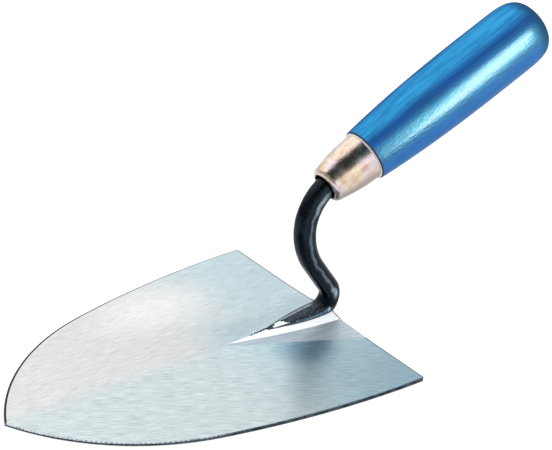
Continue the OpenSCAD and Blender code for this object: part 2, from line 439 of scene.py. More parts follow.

# %% [markdown]
# The blade's faces
#
# The upper face is flat apart from the crown, a shallow ridge that is ground round the weld. Each side of
# the centre line was ground by itself and keeps its own brush lines. A plain grid with a modifier could
# give the plate its thickness, but not these crisp lines. So the rows of the mesh run across the blade, and
# one column follows the crown's border. A narrow bevel, wider toward the tip, and a rounded edge close the
# plate, and along the far edge a thin dark line of painted shade is drawn.

# %% Heights of the blade
heel_thickness = 2.1 * mm
tip_thickness = 1.1 * mm
crown_half = 32 * mm
crown_length = 62 * mm
crown_height = blade_high.z - heel_thickness


def face_z(ahead):
    """Height of the plate's upper face."""
    return blend(heel_thickness, tip_thickness, ahead / blade_length)


def crown_rise(ahead, aside):
    """Height of the crown above the plate's face."""
    return crown_height * max(0, 1 - ahead / crown_length - abs(aside) / crown_half)


def top_z(ahead, aside):
    """Height of the upper face with its crown."""
    return face_z(ahead) + crown_rise(ahead, aside)


print("crown", round(crown_height / mm, 2), "mm high at the heel")

# %% Rows and columns of the blade
blade_rows = 72
outer_columns = 6
bevel_at_heel = 0.3 * mm
bevel_at_tip = 0.9 * mm
edge_line = 0.35 * mm


def outline_place(share, inset_heel, inset_tip):
    """Distance ahead and half width at a share of the blade's length."""
    inset = blend(inset_heel, inset_tip, ease(share))
    ahead = blend(inset_heel, tip_ahead(inset_tip), share)
    return ahead, half_outline(ahead, inset)


def columns_across(ahead, half):
    """Columns of one row from the centre line out: to the crown's border, the edge line and the outline."""
    border = min(half, crown_half * max(0, 1 - ahead / crown_length))
    line = max(border, half - edge_line)
    columns = [0, border / 2, border]
    columns += [blend(border, line, (k + 1) / outer_columns) for k in range(outer_columns)]
    return columns + [half]


def heel_columns(half):
    """Columns of the first row, which every ring round the plate shares."""
    top_ahead, top_half = outline_place(0, bevel_at_heel, bevel_at_tip)
    return [aside * half / top_half for aside in columns_across(top_ahead, top_half)]


crown_share = (crown_length - bevel_at_heel) / (tip_ahead(bevel_at_tip) - bevel_at_heel)
row_shares = [(1 - math.cos(math.pi * i / blade_rows)) / 2 for i in range(blade_rows + 1)]
row_shares = sorted(row_shares + [crown_share])
print("blade has", len(row_shares), "rows, one of them at the crown's end")

# %% Edge of the blade
FLAT, BEVEL, EDGE, CROWN, FAR_EDGE_SHADE = 0, 1, 2, 3, 4
bevel_end = 0.08 * mm
bevel_drop = 0.175 * mm
side_drop = 0.3 * mm
edge_round = 0.3 * mm
round_middle = 0.3 * edge_round


def edge_ring(inset_heel, inset_tip, height):
    """Places round the outline: the heel from side to side, out to the tip, and back."""
    there = [outline_place(share, inset_heel, inset_tip) for share in row_shares]
    heel_ahead, heel_half = there[0]
    columns = heel_columns(heel_half)
    ring = [(heel_ahead, aside) for aside in [-aside for aside in reversed(columns)] + columns[1:]]
    ring += [(ahead, half) for ahead, half in there[1:]]
    ring += [(ahead, -half) for ahead, half in reversed(there[1:-1])]
    return [(heel - ahead, aside, height(ahead, aside)) for ahead, aside in ring]


blade = Shell()
bevel_top = edge_ring(bevel_at_heel, bevel_at_tip, top_z)
edge_rings = [
    edge_ring(bevel_end, bevel_end, lambda ahead, aside: top_z(ahead, aside) - bevel_drop),
    edge_ring(0, 0, lambda ahead, aside: top_z(ahead, aside) - side_drop),
    edge_ring(0, 0, lambda ahead, aside: edge_round),
    edge_ring(round_middle, round_middle, lambda ahead, aside: round_middle),
    edge_ring(edge_round, edge_round, lambda ahead, aside: 0),
]
blade.strip(bevel_top, edge_rings[0], group=BEVEL)
blade.strips(edge_rings, group=EDGE)
print("edge has", len(blade.faces), "faces")


# %% Faces of the blade
def half_face(side, inset_heel, inset_tip, height):
    """Rows of one half of the upper or lower face, from the heel to the tip."""
    table = []
    for share in row_shares:
        ahead, half = outline_place(share, inset_heel, inset_tip)
        columns = heel_columns(half) if share == 0 else columns_across(ahead, half)
        table.append([(heel - ahead, side * aside, height(ahead, aside)) for aside in columns])
    return table


last_column = len(heel_columns(half_width)) - 2
for side in (-1, 1):
    rim_group = FAR_EDGE_SHADE if side > 0 else FLAT
    blade.strips(half_face(side, bevel_at_heel, bevel_at_tip, top_z), closed=False,
                 group=lambda column: rim_group if column == last_column else FLAT)
    blade.strips(half_face(side, edge_round, edge_round, lambda ahead, aside: 0), closed=False, group=FLAT)
print("blade has", len(blade.faces), "faces")

# %% [markdown]
# Brushed steel
#
# Grinding leaves fine parallel scratches. They smear every reflection across themselves, which is what
# makes brushed steel look soft one way and sharp the other. An even roughness can't show that, so the
# shader gets anisotropy, and a map of coordinates that turns with the scratches of each flat. Reflections
# are painted into the steel's colour too: it is painted bluer toward the heel, a bright sheen is painted on
# the far flat, and the neck's dark reflection is painted beside the weld. A thin line of painted shade runs
# along the heel edge. These places are soft masks by place on the blade, so that no picture is needed.


# %% Helpers for places and noise
def brush_place(tree):
    """The place on the brush map: across and along the scratches, in millimetres."""
    return add_node(tree, "ShaderNodeUVMap", uv_map="brush").outputs[0]


def place_in_mm(tree):
    """The place on the trowel, in millimetres."""
    place = add_node(tree, "ShaderNodeTexCoord").outputs["Object"]
    return vectors(tree, "MULTIPLY", place, (1 / mm, 1 / mm, 1 / mm))


def lumps(tree, place, scale, detail, crisp=0.5):
    """Noise with lumps about one over the scale wide."""
    inputs = {"Vector": place, "Scale": scale, "Detail": detail, "Roughness": crisp}
    return add_node(tree, "ShaderNodeTexNoise", inputs).outputs[0]


def streaks(tree, place, scales, detail=3.0, crisp=0.5):
    """Noise that is drawn out, with a scale for each axis."""
    return lumps(tree, vectors(tree, "MULTIPLY", place, scales), 1.0, detail, crisp)


def contrast(tree, value, spread, low=0.0, high=1.0):
    """Noise lies round a half. Stretch what lies within the spread of it."""
    return remap(tree, value, 0.5 - spread, 0.5 + spread, low, high)


def spot(tree, place, centre, half_axes):
    """A soft oval on the blade: one in its middle and zero from its border on. All in millimetres."""
    aside = vectors(tree, "SUBTRACT", place, (*centre, 0))
    share = vectors(tree, "MULTIPLY", aside, (1 / half_axes[0], 1 / half_axes[1], 0))
    return remap(tree, vectors(tree, "LENGTH", share), 1.0, 0.1)


def bump(tree, height, strength, distance):
    """Small relief that only bends the light."""
    inputs = {"Strength": strength, "Distance": distance, "Height": height}
    return add_node(tree, "ShaderNodeBump", inputs).outputs[0]


print("places in the finishes are in millimetres")

# %% Scratches of the flats
fine_share = 0.88
brushed_steel, tree = new_finish("brushed_steel")
brush = brush_place(tree)
fine = streaks(tree, brush, (2.6, 0.13, 1), 5.0, 0.66)
broad = streaks(tree, brush, (0.5, 0.03, 1))
tone = mix_numbers(tree, fine_share, broad, fine)
grey = contrast(tree, tone, 0.15)
place = place_in_mm(tree)
axes = parts_of(tree, place)
print("fine scratches have a share of", fine_share)

# %% Colours of the near flat
# The neck's dark reflection is painted on the near flat beside the weld, in a dark bluish colour
neck_reflection_centre = (60, -23)
neck_reflection_axes = (22, 21)
near_fade = (10, 60)

# Painted reflection: the near flat is painted bluer and a little darker toward the heel
near_tip = mix_colours(tree, grey, rgb(0.495, 0.575, 0.59), rgb(0.755, 0.815, 0.825))
near_heel = mix_colours(tree, grey, rgb(0.42, 0.59, 0.645), rgb(0.65, 0.82, 0.875))
# Painted reflection of the neck, dark and bluish
neck_reflection_tint = mix_colours(tree, grey, rgb(0.17, 0.32, 0.43), rgb(0.36, 0.53, 0.64))
near_side = mix_colours(tree, remap(tree, axes["X"], *near_fade), near_tip, near_heel)
near_side = mix_colours(tree, spot(tree, place, neck_reflection_centre, neck_reflection_axes), near_side, neck_reflection_tint)
print("heat tint at mm", neck_reflection_centre)

# %% Colours of the far flat
# A warm, bright sheen is painted on the far flat
far_sheen_centre = (20, 48)
far_sheen_axes = (48, 30)
far_fade = (10, 70)
# The neck's dark reflection is painted on the far flat beside the weld
weld_fade_along = (10, 45)
weld_fade_aside = (26, 4)

# Painted reflection: the far flat is painted warm and light toward the tip, bluer and darker toward the heel
far_tip = mix_colours(tree, grey, rgb(0.64, 0.635, 0.625), rgb(0.84, 0.835, 0.82))
far_heel = mix_colours(tree, grey, rgb(0.53, 0.655, 0.685), rgb(0.73, 0.835, 0.865))
# Painted reflection of the neck on the far flat
far_neck_reflection = mix_colours(tree, grey, rgb(0.43, 0.55, 0.59), rgb(0.58, 0.69, 0.73))
# Painted sheen on the far flat
painted_far_sheen = mix_colours(tree, grey, rgb(0.78, 0.77, 0.76), rgb(0.99, 0.98, 0.97))
far_side = mix_colours(tree, remap(tree, axes["X"], *far_fade), far_tip, far_heel)
weld_along = remap(tree, axes["X"], *weld_fade_along)
by_neck_reflection = sums(tree, "MULTIPLY", weld_along, remap(tree, axes["Y"], *weld_fade_aside))
far_side = mix_colours(tree, by_neck_reflection, far_side, far_neck_reflection)
far_side = mix_colours(tree, spot(tree, place, far_sheen_centre, far_sheen_axes), far_side, painted_far_sheen)
print("freshly ground spot at mm", far_sheen_centre)

# %% Shader of the flats
flats_meet = (-6, 6)
# Painted shade: a thin dark line along the heel edge of the flats
heel_edge_shade_colour = rgb(0.22, 0.26, 0.29)
heel_edge_shade_start = heel / mm - 1.1
heel_edge_shade_full = heel / mm - 0.7

flats = mix_colours(tree, remap(tree, axes["Y"], *flats_meet), near_side, far_side)
# Where the painted shade of the heel edge lies
heel_edge_shade = remap(tree, axes["X"], heel_edge_shade_start, heel_edge_shade_full)
set_shader(tree, {
    "Base Color": mix_colours(tree, heel_edge_shade, flats, heel_edge_shade_colour),
    "Metallic": 1.0,
    "Roughness": contrast(tree, tone, 0.15, 0.44, 0.40),
    "Anisotropic": 0.7,
    "Tangent": add_node(tree, "ShaderNodeTangent", direction_type="UV_MAP", uv_map="brush").outputs[0],
    "Normal": bump(tree, fine, 0.05, 0.02 * mm),
})
print("burr line from", round(heel_edge_shade_start, 1), "mm to the heel")

# %% Crown, bevel and edges
heel_fade = (62, 86)

crown_steel, tree = new_finish("crown_steel")
scratch = contrast(tree, streaks(tree, brush_place(tree), (1.6, 0.06, 1)), 0.15)
# Painted reflection: the crown is painted lighter toward the heel
crown_dark_reflection = mix_colours(tree, scratch, rgb(0.38, 0.46, 0.52), rgb(0.56, 0.64, 0.70))
crown_light_reflection = mix_colours(tree, scratch, rgb(0.58, 0.64, 0.67), rgb(0.80, 0.85, 0.88))
by_heel = remap(tree, parts_of(tree, place_in_mm(tree))["X"], *heel_fade)
crown_colour = mix_colours(tree, by_heel, crown_dark_reflection, crown_light_reflection)
set_shader(tree, {"Base Color": crown_colour, "Metallic": 0.8, "Roughness": 0.5})

ground_bevel, tree = new_finish("ground_bevel")
ticks = contrast(tree, streaks(tree, brush_place(tree), (0.15, 1.3, 1), 2.0), 0.08)
tick_colour = mix_colours(tree, ticks, rgb(0.22, 0.26, 0.30), rgb(0.62, 0.68, 0.71))
set_shader(tree, {"Base Color": tick_colour, "Metallic": 1.0, "Roughness": 0.4})

# Painted shade: the plate's edges are painted near-black, with marks along them. The weld's slag beads and
# its end line take this finish too
edge_shade_and_slag, tree = new_finish("edge_shade_and_slag")
marks = remap(tree, streaks(tree, brush_place(tree), (0.6, 0.25, 1), 4.0), 0.35, 0.7)
mark_colour = mix_colours(tree, marks, rgb(0.012, 0.018, 0.026), rgb(0.07, 0.10, 0.13))
set_shader(tree, {"Base Color": mark_colour, "Metallic": 0.8, "Roughness": 0.38})

# Painted shade: a thin dark line along the far edge
far_edge_shade, tree = new_finish("far_edge_shade")
set_shader(tree, {"Base Color": rgb(0.03, 0.034, 0.04), "Roughness": 0.7, "Specular IOR Level": 0.1})

# %% [markdown]
# The brush map
#
# A ground flat has its scratches in one direction, and the next flat has them in another. Unwrapping by hand
# could turn a map for each, but the direction is known for every face, so the map is worked out from it: one
# axis runs across the scratches and one along them, both in millimetres.

# %% Helper for the brush map
near_brush = math.radians(-31)
far_brush = math.radians(-2)
crown_brush = math.radians(-11.5)


def lay_brush(mesh, angle_of):
    """The brush map of a mesh: places across and along the scratches, in millimetres."""
    brush_map = mesh.uv_layers.new(name="brush")
    for polygon in mesh.polygons:
        angle = angle_of(polygon)
        for loop in polygon.loop_indices:
            place = mesh.vertices[mesh.loops[loop].vertex_index].co
            along = place.x * math.cos(angle) + place.y * math.sin(angle)
            aside = place.y * math.cos(angle) - place.x * math.sin(angle)
            brush_map.data[loop].uv = (aside / mm, along / mm)
    print("brush map on", len(brush_map.data), "corners")


def blade_brush(polygon):
    """The angle of the scratches on one face of the blade. On the edges they run along the outline."""
    if polygon.material_index in (BEVEL, EDGE, FAR_EDGE_SHADE):
        return math.atan2(polygon.normal.x, -polygon.normal.y)
    if polygon.center.y > 0:
        return far_brush
    return crown_brush if polygon.material_index == CROWN else near_brush


print("scratches turn by", round(math.degrees(far_brush - near_brush)), "degrees between the flats")

# %% Blade
blade_finishes = [brushed_steel, ground_bevel, edge_shade_and_slag, crown_steel, far_edge_shade]
blade_piece = make_piece(blade, "blade_plate", "blade", blade_finishes)
for polygon in blade_piece.data.polygons:
    middle = polygon.center
    if polygon.material_index == BEVEL and heel - middle.x < corner_radius:
        polygon.material_index = EDGE
    if polygon.material_index == BEVEL and middle.y > 0:
        polygon.material_index = FAR_EDGE_SHADE
    if polygon.material_index == FLAT:
        polygon.use_smooth = False
        on_crown = crown_rise(heel - middle.x, middle.y) > 0
        if on_crown and middle.y < 0 and polygon.normal.z > 0:
            polygon.material_index = CROWN
lay_brush(blade_piece.data, blade_brush)

# %% [markdown]
# The weld
#
# The neck is welded to the blade, and the weld is ground to two bright flanks that run out ahead of the
# foot. It could be a row of beads, but a ground weld is smooth: a loft of rows across the blade, whose
# outline bows and whose top line narrows to a point. Where the grinder stopped, a few beads of slag stay.

# %% Rows of the weld
foot_length = 36 * mm
foot_half = 6 * mm
weld_half = foot_half + 5.8 * mm
weld_length = foot_length + 22 * mm
flank_height = 2.1 * mm
flank_bow = 1.4
flank_hollow = 0.12 * mm
flank_columns = 6
weld_lap = 0.3 * mm


def crown_z(ahead, aside):
    """Height of the crown's slopes, carried on past their border."""
    return face_z(ahead) + crown_height * (1 - ahead / crown_length - abs(aside) / crown_half)


def weld_top(share):
    """Height of the weld's top line at a share of its length."""
    return blend(heel_thickness + flank_height, crown_z(weld_length, 0), share)


def weld_row(share):
    """Half a row of the weld, from its border on the blade up to the middle."""
    ahead = weld_length * share
    border = weld_half * (1 - share ** flank_bow)
    flat = (foot_half - weld_lap) * (1 - share)
    base = crown_z(ahead, border)
    row = []
    for k in range(flank_columns + 1):
        up = k / flank_columns
        hollow = flank_hollow * 4 * up * (1 - up) * (1 - share)
        row.append((heel - ahead, blend(border, flat, up), blend(base, weld_top(share), up) - hollow))
    return row + [(heel - ahead, 0, weld_top(share))]


print("weld", round(weld_length / mm), "mm long and", round(2 * weld_half / mm, 1), "mm wide")

# %% Flanks of the weld
NEAR_FLANK, FAR_FLANK, SLAG_AND_SHADE_LINE = 0, 1, 2
weld_rows = 60
seat = 0.2 * mm
end_line = 0.5 * mm

weld = Shell()
weld_shares = [0, end_line / weld_length] + [k / weld_rows for k in range(1, weld_rows + 1)]
for side in (-1, 1):
    table = [[(x, side * y, z) for x, y, z in weld_row(share)] for share in weld_shares]
    under = [[row[0], (row[0][0], 0, crown_z(heel - row[0][0], 0) - seat)] for row in table]
    weld.strips(table[1:], closed=False, group=FAR_FLANK if side > 0 else NEAR_FLANK)
    # The first strip, at the heel end of the flanks, takes the dark finish: a thin line of painted shade
    weld.strip(table[0], table[1], closed=False, group=SLAG_AND_SHADE_LINE)
    weld.strips(under, closed=False)
    weld.face(table[0] + [under[0][1]])
print("flanks have", len(weld.faces), "faces")

# %% Slag beads
slag_start = 36.4 * mm
slag_length = 9.5 * mm
slag_count = 13
slag_height = 0.35 * mm
slag_aside, slag_drift, slag_swing = 0.55 * mm, 0.5 * mm, 0.25 * mm
slag_radius, slag_taper, slag_change = 0.62 * mm, 0.36 * mm, 0.12 * mm
swing_step, change_step = 2.6, 1.9
bead_rows = 6
bead_sides = 12


def bead(centre, radius, height):
    """Rows of a small round lump, from its top down."""
    rows = []
    for k in range(bead_rows + 1):
        angle = math.pi * k / bead_rows
        reach = radius * math.sin(angle)
        up = centre[2] + height * math.cos(angle)
        turns = [2 * math.pi * n / bead_sides for n in range(bead_sides)]
        rows.append([(centre[0] + reach * math.cos(t), centre[1] + reach * math.sin(t), up) for t in turns])
    return rows


# Sines of uneven steps stand for chance, so that every run gives the same beads
for k in range(slag_count):
    share = k / (slag_count - 1)
    ahead = slag_start + slag_length * share
    aside = slag_aside - slag_drift * share + slag_swing * math.sin(swing_step * k)
    radius = slag_radius - slag_taper * share + slag_change * math.sin(change_step * k)
    middle = (heel - ahead, aside, weld_top(ahead / weld_length))
    weld.strips(bead(middle, radius, slag_height), group=SLAG_AND_SHADE_LINE)
print("weld has", len(weld.faces), "faces with", slag_count, "beads")

# %% Weld
weld_steel, tree = new_finish("ground_weld")
grain = contrast(tree, streaks(tree, place_in_mm(tree), (0.12, 1.4, 1)), 0.15)
# Painted highlight: the ground steel has a near-white colour without metal, so that the near flank and the
# bare toe show bright
grain_and_painted_highlight = mix_colours(tree, grain, rgb(0.88, 0.90, 0.92), rgb(0.95, 0.96, 0.97))
set_shader(tree, {"Base Color": grain_and_painted_highlight, "Metallic": 0.0, "Roughness": 0.6})

weld_finishes = [weld_steel, brushed_steel, edge_shade_and_slag]
weld_piece = make_piece(weld, "ground_weld", "weld_fillet", weld_finishes, sharp=25)
lay_brush(weld_piece.data, lambda polygon: far_brush if polygon.center.y > 0 else crown_brush)

# %% [markdown]
# The neck's route
#
# The neck is one forging: a spur on the blade, a bend at the heel, a straight part that leans forward, a
# sway back to upright, the crook, and a tang inside the handle. It could be a bevelled curve, but its
# section changes on the way, so the route is a chain of straights and bends, and rounded squares are set
# across it.

# %% Route of the neck
bend_setback = 6.5 * mm
bend_radius = 8 * mm
neck_lean = math.radians(34)
neck_straight = 16.6 * mm
sway_radius = 35 * mm
crook_radius = 25.5 * mm
foot_height = 4.7 * mm
foot_seat = 1.9 * mm
grip = next(mount for mount in frame["record"]["mounts"] if mount["name"] == "handle_grip")
handle_rise = math.atan2(grip["axis"][2], grip["axis"][0])
bend_angle = math.pi / 2 + neck_lean
crook_angle = handle_rise - math.pi / 2


def go(state, length):
    """Straight on. A state is place x, place z and heading."""
    x, z, heading = state
    return x + length * math.cos(heading), z + length * math.sin(heading), heading


def turn(state, radius, angle):
    """A bend to the left for a positive angle, and to the right for a negative one."""
    x, z, heading = state
    side = math.copysign(1, angle)
    end = heading + angle
    return (x + side * radius * (math.sin(end) - math.sin(heading)),
            z - side * radius * (math.cos(end) - math.cos(heading)), end)


foot_end = (heel - bend_setback, heel_thickness + (foot_height - foot_seat) / 2, 0.0)
bend_end = turn(foot_end, bend_radius, bend_angle)
straight_end = go(bend_end, neck_straight)
sway_end = turn(straight_end, sway_radius, -neck_lean)
crook_end = turn(sway_end, crook_radius, crook_angle)
print("crook ends at mm", [round(value / mm, 2) for value in crook_end[:2]])

# %% Sections of the neck
foot_width = 2 * foot_half
toe_width = 2.4 * mm
toe_height = 1.5 * mm
neck_width = 10.2 * mm
waist_depth = 9.7 * mm
top_depth = 10.3 * mm
shoulder_length = 3.4 * mm
tang_length = 84 * mm
tang_root = 7.2 * mm
tang_tip = 3.2 * mm
section_power = 2.6
neck_sides = 72


def rounded_square(state, half_deep, half_wide, power, sides):
    """Places round a route: a circle for a power of two, and squarer for a higher one."""
    x, z, heading = state
    ring = []
    for k in range(sides):
        angle = 2 * math.pi * k / sides
        c, s = math.cos(angle), math.sin(angle)
        up = half_deep * math.copysign(abs(c) ** (2 / power), c)
        aside = half_wide * math.copysign(abs(s) ** (2 / power), s)
        ring.append((x - up * math.sin(heading), aside, z + up * math.cos(heading)))
    return ring


def section(state, wide, deep):
    """A rounded square across the neck."""
    ring = rounded_square(state, deep / 2, wide / 2, section_power, neck_sides)
    return [Vector(place) for place in ring]


def foot_section(t):
    """The foot, from the toe at zero to the bend at one."""
    ahead = blend(foot_length, bend_setback, t)
    height = blend(toe_height, foot_height, t) + face_z(ahead) - heel_thickness
    state = (heel - ahead, heel_thickness + (height - foot_seat) / 2, 0.0)
    return section(state, blend(toe_width, foot_width, math.sin(t * math.pi / 2)), height + foot_seat)


def tang_section(t):
    """The tang inside the handle."""
    far = blend(shoulder_length, tang_length, t)
    side = blend(tang_root, tang_tip, t)
    return section(go(crook_end, far), side, side)


print("foot", foot_width / mm, "mm wide, neck", neck_width / mm, "mm wide")

# %% Rings of the neck
ring_spacing = 0.5 * mm
tang_steps = 4
foot_depth = foot_height + foot_seat
foot_rings = round((foot_length - bend_setback) / ring_spacing)

neck_rings = [foot_section(k / foot_rings) for k in range(foot_rings)]
for route, length, widths, depths in (
        (lambda t: turn(foot_end, bend_radius, bend_angle * t), bend_radius * bend_angle,
         (foot_width, neck_width), (foot_depth, waist_depth)),
        (lambda t: go(bend_end, neck_straight * t), neck_straight,
         (neck_width, neck_width), (waist_depth, waist_depth)),
        (lambda t: turn(straight_end, sway_radius, -neck_lean * t), sway_radius * neck_lean,
         (neck_width, neck_width), (waist_depth, top_depth)),
        (lambda t: turn(sway_end, crook_radius, crook_angle * t), -crook_radius * crook_angle,
         (neck_width, top_depth), (top_depth, top_depth))):
    steps = round(length / ring_spacing)
    for k in range(steps):
        eased = ease(k / steps)
        neck_rings.append(section(route(k / steps), blend(*widths, eased), blend(*depths, eased)))
neck_rings.append(section(crook_end, top_depth, top_depth))
tang_rings = [tang_section(k / tang_steps) for k in range(tang_steps + 1)]
print("neck has", len(neck_rings), "rings of", neck_sides)

# %% [markdown]
# Forging marks
#
# A forged bar is never quite even: the hammer leaves shallow waves, and scale leaves small pits. A bump in
# the finish would not change the outline, so the waves are moved into the rings themselves, and a few pits
# are pressed in where they show. The foot's underside is flattened on the blade.

# %% Forging marks
wave_size = 5 * mm
wave_height = 0.10 * mm
wave_middle, wave_swing = 0.5, 0.6
fine_wave, fine_height = 2.3, 0.5
pit_radius = 1.1 * mm
pit_depth = 0.28 * mm
pit_rings_and_sides = [(181, 63), (155, 60), (135, 59), (196, 60)]
pits = [neck_rings[ring][side] for ring, side in pit_rings_and_sides]


def weathered(ring):
    """The ring with forging waves and pits, drawn in so that the neck keeps inside its solid."""
    middle = sum(ring, Vector()) / len(ring)
    moved = []
    for place in ring:
        outward = (place - middle).normalized()
        wave = noise.noise(place / wave_size) + fine_height * noise.noise(place * fine_wave / wave_size)
        depth = wave_height * (wave_middle - wave * wave_swing)
        for pit in pits:
            depth += pit_depth * max(0, 1 - ((place - pit).length / pit_radius) ** 2)
        moved.append(place - outward * depth)
    return moved


def seated(place):
    """The place, lifted onto the blade where it would lie below the blade's face."""
    ahead = heel - place.x
    if ahead < 0:
        return place
    return Vector((place.x, place.y, max(place.z, top_z(ahead, place.y) - seat)))


neck_rows = [[tuple(seated(place)) for place in weathered(ring)] for ring in neck_rings]
neck_rows += [[tuple(place) for place in ring] for ring in tang_rings]
print("neck has", len(pits), "pits up to", round(pit_depth / mm, 2), "mm deep")

# %% [markdown]
# Painted highlights and a bare toe
#
# Highlights are painted on the lacquer: a line along the flank, wider at the bend and in the crook,
# a glint on the corner above the foot, a line on the foot's far edge, and a faint sheen on the near side.
# The toe was ground bare with the weld. Paint strokes on the mesh could show that, but strokes can't be
# written as a rule. So each corner of the mesh gets a share from zero to one by its ring and its side, and
# the finish reads that share. Rings and sides are both about half a millimetre apart.

# %% Bare toe
LACQUER, BARE = 0, 1
ragged_size = 1.3 * mm
ragged_rings = 4
toe_start, toe_end, toe_slant = 7, 18, 0.4
toe_far_side, toe_near_side = -1, 9
quarter = neck_sides // 4
top_rings = len(neck_rings)


def sides_nearer(side):
    """Sides of the ring from the top toward the near flank, negative toward the far flank."""
    return neck_sides - side if side > 2 * quarter else -side


def neck_group(ring, side):
    """The finish of one face of the neck: bare on the toe, with a ragged border."""
    near = sides_nearer(side)
    ragged = ragged_rings * noise.noise(neck_rings[min(ring, top_rings - 1)][side] / ragged_size)
    along_toe = toe_start + ragged < ring < toe_end + toe_slant * near + ragged
    return BARE if along_toe and toe_far_side <= near <= toe_near_side else LACQUER


neck = Shell()
for number, (first, second) in enumerate(zip(neck_rows, neck_rows[1:])):
    neck.strip(first, second, group=lambda side: neck_group(number, side))
neck.face(neck_rows[0])
neck.face(neck_rows[-1])
print("bare faces on the toe:", neck.groups.count(BARE))

# %% Places of the painted highlights
line_sway_size = 5 * mm
line_sway = 1.2
line_width, bend_width, crook_width = 0.9, 1.1, 0.6
# A faint painted sheen on the near side, above the flank line
painted_sheen_share = 0.035
painted_sheen_side, painted_sheen_width = quarter - 6, 3.5
foot_edge_side, foot_edge_width = -3.5, 1.1
corner_sides = (13.5, 17.5, 2)

# The first ring, the last one and how many the border takes
foot_edge_rings = (17, foot_rings - 2, 6)
corner_rings = (foot_rings + 8, foot_rings + 12, 3)
bend_rings = (foot_rings + 24, foot_rings + 37, 6)
crook_rings = (top_rings - 37, top_rings - 15, 8)
flank_rings = (foot_rings + 24, top_rings - 12, 10)


def between(value, start, end, soft):
    """One between two borders and zero outside them, with soft ramps on the borders."""
    rising = min(1, max(0, (value - start) / soft + 0.5))
    falling = min(1, max(0, (end - value) / soft + 0.5))
    return ease(rising) * ease(falling)


def near_line(distance, width):
    """One on a line and less the farther from it, in sides of the ring."""
    return math.exp(-(distance / width) ** 2)


def painted_highlight_share(ring, side):
    """How strong the painted highlight is at one corner of the neck's mesh, from zero to one."""
    near = sides_nearer(side)
    sway = line_sway * noise.noise(neck_rings[ring][side] / line_sway_size)
    foot_edge = between(ring, *foot_edge_rings) * near_line(near - foot_edge_side, foot_edge_width)
    corner = between(ring, *corner_rings) * between(near, *corner_sides)
    bend = between(ring, *bend_rings)
    crook = between(ring, *crook_rings)
    flank = between(ring, *flank_rings)
    width = line_width + bend_width * bend + crook_width * crook
    line = flank * (1 + max(bend, crook)) / 2 * near_line(near - quarter + sway, width)
    painted_sheen = painted_sheen_share * flank * near_line(near - painted_sheen_side, painted_sheen_width)
    return min(1, foot_edge + corner + line + painted_sheen)


painted_highlight_shares = [[painted_highlight_share(ring, side) for side in range(neck_sides)] for ring in range(top_rings)]
print("most worn place:", round(max(max(row) for row in painted_highlight_shares), 2))

# %% [markdown]
# Black lacquer
#
# The neck is dipped in black lacquer. It is glossy, with a faint orange peel, and dusty on the foot, and
# highlights are painted on it in a light bluish grey. A metal shader under a clear coat could give the
# depth, but plain black with a weak, bluish shine is what such paint is. The dust is a mask by height and
# side, and the painted highlights follow the map above.

# %% Colours of the lacquer
dust_top, dust_full = 7.6, 5.6
dust_sides = (2.5, -1.0)
# The colour of the painted highlights on the black lacquer
painted_highlight_colour = rgb(0.45, 0.57, 0.70)

lacquer, tree = new_finish("black_lacquer")
place = place_in_mm(tree)
axes = parts_of(tree, place)
specks = lumps(tree, place, 0.9, 4.0)
speckled = remap(tree, specks, 0.4, 0.75)
grains = remap(tree, specks, 0.5, 0.7)
black = mix_colours(tree, speckled, rgb(0.0008, 0.001, 0.0015), rgb(0.004, 0.005, 0.007))
dusty = mix_colours(tree, grains, rgb(0.020, 0.024, 0.030), rgb(0.10, 0.115, 0.135))
near_half = remap(tree, axes["Y"], *dust_sides)
on_foot = sums(tree, "MULTIPLY", remap(tree, axes["Z"], dust_top, dust_full), near_half)
painted = mix_colours(tree, on_foot, black, dusty)
# The share of painted highlight, from the map on the neck's mesh
painted_highlight = add_node(tree, "ShaderNodeAttribute", attribute_name="painted_highlight").outputs["Fac"]
painted_highlight_mix = sums(tree, "MULTIPLY", painted_highlight, remap(tree, specks, 0.35, 0.6, 0.55, 1.0))
print("dust lies below", dust_top, "mm")

# %% Shader of the lacquer
gloss = remap(tree, specks, 0.35, 0.7, 0.10, 0.22)
dusty_gloss = remap(tree, specks, 0.35, 0.7, 0.34, 0.50)
painted_highlight_roughening = 0.12
set_shader(tree, {
    "Base Color": mix_colours(tree, painted_highlight_mix, painted, painted_highlight_colour),
    "Roughness": sums(tree, "ADD", mix_numbers(tree, on_foot, gloss, dusty_gloss),
                      sums(tree, "MULTIPLY", painted_highlight, painted_highlight_roughening)),
    "Specular IOR Level": 0.16,
    "Specular Tint": rgb(0.42, 0.72, 1.0),
    "Normal": bump(tree, lumps(tree, place, 0.45, 2.0), 0.10, 0.3 * mm),
})
print("lacquer is wired with", len(tree.nodes), "nodes")

# %% Neck
neck_piece = make_piece(neck, "swan_neck", "neck", [lacquer, weld_steel], sharp=50)
# A map of painted highlights: one share at each corner of the mesh
painted_highlight_map = neck_piece.data.attributes.new("painted_highlight", "FLOAT", "POINT")
for row, shares in zip(neck_rows, painted_highlight_shares):
    for place, share in zip(row, shares):
        painted_highlight_map.data[neck.corner(place)].value = share
print("worn map on", len(painted_highlight_map.data), "corners")

# %% [markdown]
# Turned pieces
#
# Ferrule and handle are round about one axis, which the frame gives as the grip's own. Blender's Screw
# modifier could spin their profiles, but the handle's socket is a rounded square, so each ring is written
# with its place on the axis, its radius and its squareness.

# %% Rings about the handle's axis
crook_inside = 4.7 * mm
ferrule_length = 25.4 * mm
ferrule_mouth = go(crook_end, -crook_inside)
handle_start = go(ferrule_mouth, ferrule_length)
round_power = 2.0
turned_sides = 144


def turned_ring(start, far, radius, power=round_power):
    """Places round the axis at a distance from a start on it."""
    return rounded_square(go(start, far), radius, radius, power, turned_sides)


def arc(centre_far, centre_radius, long, high, start, end, steps):
    """Points on part of an ellipse, as distance along the axis and radius."""
    angles = [math.radians(blend(start, end, k / steps)) for k in range(steps + 1)]
    return [(centre_far + long * math.sin(a), centre_radius + high * math.cos(a)) for a in angles]


